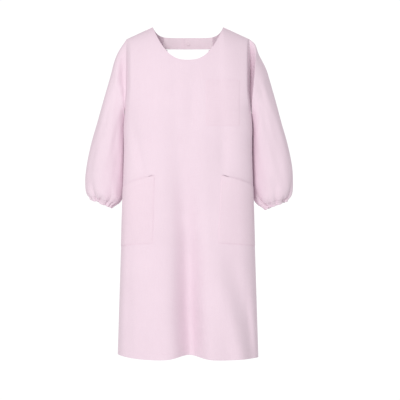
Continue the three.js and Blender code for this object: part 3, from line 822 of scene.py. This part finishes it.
def sleeve_oval(side, angle, t):
    outer_x, outer_z, inner_x, inner_z, depth, middle = np.moveaxis(smooth_line(SLEEVE_PLACES, t), -1, 0)
    if side > 0:
        outer_x = outer_x + FULLER * smooth((t - 0.1) / 0.1) * (1 - 0.5 * smooth((t - 0.86) / 0.14))
        outer_x = outer_x + PUFF[0] * bump(t, PUFF_AT, PUFF_AT)
        outer_z = outer_z + PUFF[1] * bump(t, PUFF_AT, PUFF_AT)
        lower = RIGHT_CUFF_LOWER * smooth((t - 0.7) / 0.3)
        outer_z, inner_z = outer_z - lower, inner_z - lower
    reach = np.cos(angle) / 2
    x = (outer_x + inner_x) / 2 + (outer_x - inner_x) * reach
    z = (outer_z + inner_z) / 2 + (outer_z - inner_z) * reach
    tuck = bump(t, 0.2, 0.13) * (0.5 - reach) ** 2 * smooth(t / 0.04)
    return stack(x - TUCK[0] * tuck, middle + depth * np.sin(angle) + TUCK[1] * tuck, z)


def sleeve_base(side, angle, t):
    fit = armhole_point(side, angle) - sleeve_oval(side, angle, t * 0)
    across, forward = 1 - smooth(t / ARMHOLE_FIT), 1 - smooth(t / ARMHOLE_RISE[side])
    return sleeve_oval(side, angle, t) + fit * stack(across, forward, across)


def gathers(angle, t, phase):
    """Sharp valleys that start at the cuff and open out up the sleeve, with puffs between them."""
    out = 0.0035 * smooth((t - 0.76) / 0.14) * (1 - smooth((t - 0.93) / 0.05))
    for i in range(GATHERS):
        place = 2 * np.pi * (i + 0.3 * np.sin(2.4 * i + phase)) / GATHERS
        reach = 0.13 + 0.20 * (0.5 + 0.5 * np.sin(3.1 * i + 2 * phase)) ** 2
        depth = 0.0104 + 0.0030 * np.sin(1.7 * i + phase)
        off = angle - place - 1.5 * np.sin(2.1 * i + phase) * (1 - t)
        off = np.abs((off + np.pi) % (2 * np.pi) - np.pi)
        width = 0.10 + 0.9 * (1 - t)
        fade = smooth((t - 1 + reach) / reach) * (1 - 0.35 * smooth((t - 0.95) / 0.05))
        out = out - depth * fade * np.exp(-((off / width) ** 1.25))
    return out - 0.0012 * bump(t, 1 - CASING, 0.006)


VALLEY = {-1: 0.004, 1: 0.002}  # how far each sleeve sinks in beside its armhole


def sleeve_folds(side, angle, t, phase):
    loose = smooth(t / 0.2) * (1 - smooth((t - 0.82) / 0.12))
    out = 0.0020 * np.sin(3 * angle + 3.5 * t + phase) + 0.0012 * np.sin(5 * angle - 6 * t + 2 * phase)
    out = out + 0.0005 * np.sin(8 * angle + 11 * t + phase) + 0.0003 * np.sin(13 * angle - 17 * t)
    sides = np.abs(np.sin(angle)) ** 1.5
    valley = -VALLEY[side] * sides * bump(t, 0.05, 0.04) * np.where(np.sin(angle) < 0, 1, 0.5)
    return out * loose * (0.35 + 0.65 * sides) + valley + gathers(angle, t, phase)


def sleeve_point(side, angle, t, lift=0.0):
    out = -surface_normal(lambda p, q: sleeve_base(side, p, q), angle, np.clip(t, 0.012, 0.985), 0.004)
    phase = 0.8 if side > 0 else 2.9
    fade = smooth(t / 0.03)
    p = sleeve_base(side, angle, t) + out * (sleeve_folds(side, angle, t, phase) * fade + lift)[..., None]
    return p * np.array([side, 1, 1])


SWING_PLACE = (0.2435, -0.312)  # x and z of the point that the raised arm turns about
SWING_LINE = (0.57, -0.82)  # the way down the sleeve there, x and z
SWING_START, SWING_END = -0.055, 0.065


def arm_blend(piece, side, name):
    place, way = np.array(SWING_PLACE), unit(np.array(SWING_LINE))
    start, end = (place + way * reach for reach in (SWING_START, SWING_END))
    start, end = ((side * x, 0, z) for x, z in (start, end))
    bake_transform(piece)
    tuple(start)
    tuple(end)


def make_sleeve(side, name):
    flip = side > 0
    angles = np.linspace(0, 2 * np.pi, 168, endpoint=False)
    angle, t = np.meshgrid(angles, spread(210, lambda u: 1 + 1.5 * np.exp(-u / 0.02) + 2 * (u > 0.8)))
    points = turned(sleeve_point(side, angle, t), HEM_TURN * 1.6, flip=flip, wrap=True)
    sleeve = cloth(f"{name}_sleeve_cloth", points, CLOTH, GOWN_CLOTH, flip=flip, wrap=True)
    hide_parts(f"{name}_sleeve_cap", f"{name}_sleeve_bend", f"{name}_sleeve")

    angle, t = np.meshgrid(angles, np.linspace(1 - CASING, 0.997, 12))
    casing_points = sleeve_point(side, angle, t, -2 * HEM_TURN * 1.6)
    casing = cloth(f"{name}_cuff_lining", casing_points, 0.0005, FACING_CLOTH, flip=flip, wrap=True)
    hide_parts(f"{name}_cuff_casing")

    angle, t = np.meshgrid(angles, np.linspace(1 - CASING * 0.8, 0.99, 10))
    elastic_points = sleeve_point(side, angle, t, -CLOTH - 0.0004)
    elastic = cloth(f"{name}_cuff_elastic_band", elastic_points, 0.0009, ELASTIC, flip=flip, wrap=True)
    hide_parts(f"{name}_cuff_elastic")
    return (sleeve, points), (casing, casing_points), (elastic, elastic_points)


# ---- The neck band and its press stud ------------------------

BAND_THICK = 0.0018
BAND_BULGE = 0.014
BAND_OVERLAP = 0.026
BAND_SPACE = 0.0036  # between the two ends, where the stud joins them
STUD_Z = -(BAND_DROP + BAND_FOOT) / 2


def band_y(x):
    seam = back_y(np.array(BAND_SEAM_HALF), np.array(STUD_Z))
    return seam - 0.002 + BAND_BULGE * (1 - (x / BAND_SEAM_HALF) ** 2)


def band_point(side, x, z):
    """The left end lies behind, the right end next to the neck."""
    apart = -side * (BAND_SPACE + 0.002) / 2 * smooth(1 - np.abs(x) / BAND_SEAM_HALF)
    ripple = 0.0006 * np.sin(x * 95 + side) * smooth((BAND_SEAM_HALF - np.abs(x)) / 0.02)
    return stack(x, band_y(x) + apart + ripple + BAND_THICK / 2, z)


def band_place(side, u, v):
    """u runs from the free end to the root, v from the foot to the top."""
    x = lerp(-side * BAND_OVERLAP / 2, side * (BAND_SEAM_HALF - 0.0004), u)
    return x, lerp(-BAND_FOOT, back_neck_z(x), v)


def make_band(side, name):
    u, v = np.meshgrid(np.linspace(0, 1, 90), spread(28, lambda u: 1 + 2 * (np.abs(u - 0.5) > 0.42))[::-1])
    points = band_point(side, *band_place(side, u, v))
    edge = smooth(np.minimum(np.minimum(u * 2.6, v), 1 - v) * 0.035 / 0.0016)
    flip = side < 0
    out = grid_normals(points, False) * (-1 if flip else 1)
    points = points - out * (0.00035 * (1 - edge))[..., None]
    # the band's cloth is painted lighter than the gown's, as painted light against the shade inside the neck
    band = cloth(f"{name}_neck_band_cloth", points, BAND_THICK, BAND_CLOTH_PAINTED_LIGHTER, flip=flip)
    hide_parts(f"{name}_neck_band")
    return band, points


def band_blend(piece, side, name):
    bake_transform(piece)


def turning(name, outline, y, way):
    """A turned piece about an axis along Y, from (radius, height) points; way is the side it faces."""
    around = 64
    angles = np.linspace(0, 2 * np.pi, around, endpoint=False)
    r, h = np.array(outline).T
    x = r[:, None] * np.cos(angles)
    z = r[:, None] * np.sin(angles)
    verts = stack(x, y + way * h[:, None], STUD_Z + z).reshape(-1, 3)
    index = np.arange(len(verts)).reshape(len(outline), around)
    after = np.roll(index, -1, 1)
    faces = np.stack([index, after, np.roll(after, -1, 0), np.roll(index, -1, 0)], -1).reshape(-1, 4)
    if way < 0:
        faces = faces[:, ::-1]
    return mesh_object(name, verts, faces, np.zeros((len(verts), 2)), NYLON)


def rounded(corners, radius=0.0003, steps=4):
    """The closed outline with each corner eased."""
    points = []
    corners = [np.array(c) for c in corners]
    for before, corner, after in zip([corners[-1], *corners[:-1]], corners, [*corners[1:], corners[0]]):
        reach = min(radius, np.linalg.norm(before - corner) / 2.2, np.linalg.norm(after - corner) / 2.2)
        a, b = corner + unit(before - corner) * reach, corner + unit(after - corner) * reach
        for share in np.linspace(0, 1, steps):
            points.append((1 - share) ** 2 * a + 2 * share * (1 - share) * corner + share**2 * b)
    return points


TINY = 0.00008  # radius left open in the middle of a turned piece, too small to see


def make_studs():
    """Cap and socket on the left end, knob and back cap on the right end."""
    middle = float(band_y(0.0))
    face = (BAND_SPACE + 0.002) / 2
    cap = rounded([(TINY, -0.0004), (0.0062, -0.0004), (0.0062, 0.0004), (0.0046, 0.0010), (0.0034, 0.0008),
                   (TINY, 0.0008)])
    socket = rounded([(0.0014, 0), (0.0056, 0), (0.0056, 0.0014), (0.0033, 0.0018), (0.0033, 0.0007),
                      (0.0014, 0.0007)])
    knob = rounded([(TINY, 0), (0.0056, 0), (0.0056, 0.0007), (0.0029, 0.0007), (0.0030, 0.0014),
                    (0.0026, 0.0018), (TINY, 0.0018)])
    outer, inner = middle + face + 0.001, middle - face - 0.001
    parts = (
        ("stud_outer_cap", cap, outer + 0.0005, 1, "stud_cap", "left_neck_end"),
        ("stud_socket_ring", socket, middle + face - 0.0013, -1, "stud_socket", "left_neck_end"),
        ("stud_knob_disk", knob, middle - face + 0.0013, 1, "stud_knob", "right_neck_end"),
        ("stud_inner_cap", cap, inner - 0.0005, -1, "stud_back_cap", "right_neck_end"),
    )
    for name, outline, y, way, node, body in parts:
        piece = turning(name, outline, y, way)
        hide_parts(node)
        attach(piece, body)


# ---- The care label ------------------------------------------


def make_label():
    """A blank label inside the front, sewn by its top edge."""
    a, b = np.meshgrid(np.linspace(-0.5, 0.5, 16), np.linspace(1, 0, 24))
    z = -0.640 - 0.042 * (1 - b)
    x = -edge_half(z) * 0.9 + a * 0.028
    curl = 0.0035 * (1 - b) ** 2
    points = front_point(s_at(x, z), z) - front_out(s_at(x, z), z) * (0.0012 + curl)[..., None]
    label = cloth("blank_care_label", points, 0.00035, LABEL, flip=True)
    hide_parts("care_label")
    return label, points


# ---- Stitching -----------------------------------------------

PITCH = 0.0032  # from one stitch to the next
STITCH = {"long": 0.0024, "wide": 0.00042, "high": 0.00026}


def stitches(name, lines):
    """One raised thread for each stitch along lines of (points, normals)."""
    middles, ways, ups = [], [], []
    for points, normals in lines:
        total = np.concatenate([[0], np.cumsum(np.linalg.norm(np.diff(points, axis=0), axis=1))])
        at = np.arange(PITCH / 2, total[-1], PITCH)
        pick = lambda values, where: np.stack([np.interp(where, total, values[:, k]) for k in range(3)], -1)
        middles.append(pick(points, at))
        ways.append(unit(pick(points, at + PITCH / 4) - pick(points, at - PITCH / 4)))
        ups.append(unit(pick(normals, at)))
    middle, way, up = (np.concatenate(group)[:, None, None] for group in (middles, ways, ups))
    across = np.cross(up, way)
    ring = np.linspace(0, 2 * np.pi, 6, endpoint=False)[None, None, :, None]
    step = np.array([-1, -0.6, 0, 0.6, 1])[None, :, None, None]
    fat = np.array([0.25, 0.85, 1, 0.85, 0.25])[None, :, None, None]
    sink = np.array([-0.0002, 0, 0.00006, 0, -0.0002])[None, :, None, None]
    verts = middle + way * step * STITCH["long"] / 2 + across * np.cos(ring) * fat * STITCH["wide"] / 2
    verts = verts + up * (np.sin(ring) * fat * STITCH["high"] / 2 + sink)
    index = np.arange(verts[..., 0].size).reshape(verts.shape[:3])
    after = np.roll(index, -1, 2)
    sides = np.stack([index[:, :-1], after[:, :-1], after[:, 1:], index[:, 1:]], -1).reshape(-1, 4)
    caps = [index[:, end][:, list(order)] for end, order in (
        (0, (3, 2, 1, 0)), (0, (5, 4, 3, 0)), (-1, (0, 1, 2, 3)), (-1, (0, 3, 4, 5)))]
    faces = np.concatenate([sides, *caps])
    verts = verts.reshape(-1, 3)
    piece = mesh_object(name, verts, faces, np.zeros((len(verts), 2)), THREADS)
    return piece


def front_line(s, z, lift=0.0):
    return front_point(s, z) + front_out(s, z) * lift, front_out(s, z)


def back_line(side, s, z, lift=0.0):
    out = -surface_normal(lambda p, q: back_point(side, p, q), s, z, 0.002) * side
    return back_point(side, s, z) + out * lift, out


def pocket_lines(name):
    """Round a pocket's sewn edges, along the foot of its mouth's hem, and close together at its corners."""
    place, bulge, gape, height, thick = POCKETS[name]
    down, in_side = 0.0022 / height, 0.0022 / 0.105
    tall = np.linspace(1 - 0.001 / height, down, 90)
    wide = np.linspace(in_side, 1 - in_side, 60)
    tack = np.linspace(0.0, 0.075, 12)
    hem = 1 - POCKET_HEM * 0.9 / height
    paths = [
        (wide * 0 + in_side, np.interp(wide, (0, 1), (1 - 0.001 / height, down))),
        (wide, wide * 0 + down),
        (tall * 0 + 1 - in_side, tall),
        (wide, wide * 0 + hem),
    ]
    for row in range(3):
        b = tack * 0 + 1 - (0.0012 + 0.0005 * row) / height
        paths += [(in_side + tack, b), (1 - in_side - tack, b)]
    for a, b in paths:
        points = pocket_point(place, bulge, gape, a, b, a * 0 + thick + 0.0001)
        yield points, front_out(*place(a, b))


def sleeve_line(side, t):
    angle = np.linspace(0, 2 * np.pi, 400)
    t = np.full(angle.shape, t)
    points = sleeve_point(side, angle, t)
    return points, unit(sleeve_point(side, angle, t, 0.001) - points)


def make_stitching():
    s = np.linspace(-0.99, 0.99, 400)
    u = np.linspace(-0.985, 0.985, 200)
    hem = front_line(s, front_hem_z(x_at(s, HEM_Z)) + HEM_STITCH)
    neck = front_line(*along_neckline(u, 0.0045))
    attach(stitches("front_stitching", [hem, neck]), "gown")
    for name in POCKETS:
        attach(stitches(f"{name}_pocket_stitching", list(pocket_lines(name))), "gown")
    for side, name in SIDES:
        u = np.linspace(0.005, 0.985, 200)
        z = back_hem_z(side * x_at(u, BACK_HEM_Z)) + HEM_STITCH
        hem = back_line(side, lerp(s_at(back_edge_x(z), z), 1, u), z)
        z = np.linspace(-BACK_NOTCH[1] - 0.005, BACK_HEM_Z + 0.002, 400)
        lines = [hem]
        for away in (0.003, FACING_WIDTH - 0.003):
            lines.append(back_line(side, s_at(opening_x(z) + away, z), z))
        ring = 0.44 * np.array([(-1, -1), (1, -1), (1, 1), (-1, 1), (-1, -1), (1, 1), (1, -1), (-1, 1)])
        a, b = (np.interp(np.linspace(0, 7, 160), np.arange(8), values) for values in ring.T)
        patch = patch_point(side, a, b)
        out = back_line(side, s_at(np.abs(patch[:, 0]), patch[:, 2]), patch[:, 2])[1]
        lines.append((patch + out * 0.0014, out))
        flap_blend(stitches(f"{name}_back_stitching", lines), side, name)
        cuff = stitches(f"{name}_cuff_stitching", [sleeve_line(side, 1 - CASING)])
        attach(cuff, f"{name}_arm")
        make_band_stitching(side, name)


def make_band_stitching(side, name):
    """A row round the band's edges, on both of its faces."""
    corners = ((0.985, 0.93), (0.03, 0.93), (0.03, 0.07), (0.985, 0.07))
    u, v = (np.interp(np.linspace(0, 3, 240), np.arange(4), values) for values in zip(*corners))
    x, z = band_place(side, u, v)
    behind = band_point(side, x, z)
    out = np.broadcast_to([0.0, 1.0, 0.0], behind.shape)
    lines = [(behind, out), (behind - out * BAND_THICK, -out)]
    band_blend(stitches(f"{name}_neck_band_stitching", lines), side, name)


# ---- Building the gown ---------------------------------------

SIDES = ((-1, "left"), (1, "right"))


def is_sheet(made, wrap=False):
    piece, points = made
    flat, area = flat_size(points, wrap)


panel, facing, hem = make_front()
for made, slot in ((panel, "gown_cloth"), (facing, "facing_cloth"), (hem, "facing_cloth")):
    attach(made[0], "gown")
is_sheet(panel)

for pocket_name in POCKETS:
    pocket, turning_in = make_pocket(pocket_name)
    for made, slot in ((pocket, "trim_cloth"), (turning_in, "facing_cloth")):
        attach(made[0], "gown")
    is_sheet(pocket)

label = make_label()
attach(label[0], "gown")
is_sheet(label)

for side, name in SIDES:
    back, back_hem, back_facing, patch = make_back(side, name)
    for made, slot in (
        (back, "gown_cloth"), (back_hem, "facing_cloth"), (back_facing, "facing_cloth"), (patch, "trim_cloth")
    ):
        flap_blend(made[0], side, name)
    is_sheet(back)

    sleeve, casing, elastic = make_sleeve(side, name)
    arm_blend(sleeve[0], side, name)
    for made, slot in ((casing, "facing_cloth"), (elastic, "elastic")):
        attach(made[0], f"{name}_arm")
    is_sheet(sleeve, wrap=True)

    band = make_band(side, name)
    band_blend(band[0], side, name)
    is_sheet(band)

make_studs()
make_stitching()

# ---- Floor, light and camera ---------------------------------

FLOOR_Z = HEM_Z - 0.30
FLOOR_RADIUS = 3.3  # just outside the camera's view


def make_floor():
    angles = np.linspace(0, 2 * np.pi, 96, endpoint=False)
    mesh = bpy.data.meshes.new("floor")
    ring = [(FLOOR_RADIUS * math.cos(a), FLOOR_RADIUS * math.sin(a), FLOOR_Z) for a in angles]
    mesh.from_pydata(ring, [], [list(range(len(ring)))])
    n = Nodes("pale_floor")
    place = n.add("ShaderNodeTexCoord").outputs["Object"]
    n.link(n.mix(n.noise(place, 3.0), linear(246, 246, 247), linear(250, 250, 250)), "Base Color")
    n.set(Roughness=0.7)
    mesh.materials.append(n.material)
    floor = bpy.data.objects.new("floor", mesh)
    bpy.context.scene.collection.objects.link(floor)
    floor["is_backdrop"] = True


AMBIENT = 0.575  # strength of the light from all round
WHITE = 1.05  # strength of the white that the camera sees


def make_world():
    """White behind the gown, with softer light from all round."""
    world = bpy.data.worlds.new("studio")
    bpy.context.scene.world = world
    world.use_nodes = True
    tree = world.node_tree
    shown = tree.nodes.new("ShaderNodeBackground")
    light = tree.nodes["Background"]
    shown.inputs["Color"].default_value = (1, 1, 1, 1)
    shown.inputs["Strength"].default_value = WHITE
    light.inputs["Color"].default_value = (1, 0.985, 0.99, 1)
    light.inputs["Strength"].default_value = AMBIENT
    seen = tree.nodes.new("ShaderNodeLightPath")
    mix = tree.nodes.new("ShaderNodeMixShader")
    tree.links.new(seen.outputs["Is Camera Ray"], mix.inputs[0])
    tree.links.new(light.outputs[0], mix.inputs[1])
    tree.links.new(shown.outputs[0], mix.inputs[2])
    tree.links.new(mix.outputs[0], tree.nodes["World Output"].inputs["Surface"])


def aim(obj, place, target):
    obj.location = place
    obj.rotation_euler = (Vector(target) - Vector(place)).to_track_quat("-Z", "Y").to_euler()
    bpy.context.scene.collection.objects.link(obj)


def make_light(name, place, size, power, colour=(1, 1, 1)):
    lamp = bpy.data.lights.new(name, "AREA")
    lamp.shape = "DISK"
    lamp.size = size
    lamp.energy = power
    lamp.color = colour
    aim(bpy.data.objects.new(name, lamp), place, (0, 0, HEM_Z * 0.45))


CAMERA_AWAY = 14.0
VIEW_WIDTH = 1.268  # what the frame takes in at the gown
VIEW_MIDDLE = (0.038, -0.548)


def make_camera():
    camera = bpy.data.cameras.new("camera")
    camera.sensor_width = 36
    camera.lens = camera.sensor_width * CAMERA_AWAY / VIEW_WIDTH
    obj = bpy.data.objects.new("camera", camera)
    x, z = VIEW_MIDDLE
    aim(obj, (x, -CAMERA_AWAY, z), (x, 0, z))
    bpy.context.scene.camera = obj


make_floor()
make_world()
make_light("key", (-1.15, -4.4, 0.9), size=1.2, power=104, colour=(1, 0.99, 0.98))
make_light("back", (2.4, 4.0, 1.2), size=1.6, power=45)
make_camera()
bpy.context.scene.view_settings.view_transform = "Standard"

as_lists = lambda box: [[float(c) for c in corner] for corner in box]
{"cad": as_lists(cad_box), "visual": as_lists(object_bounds())}
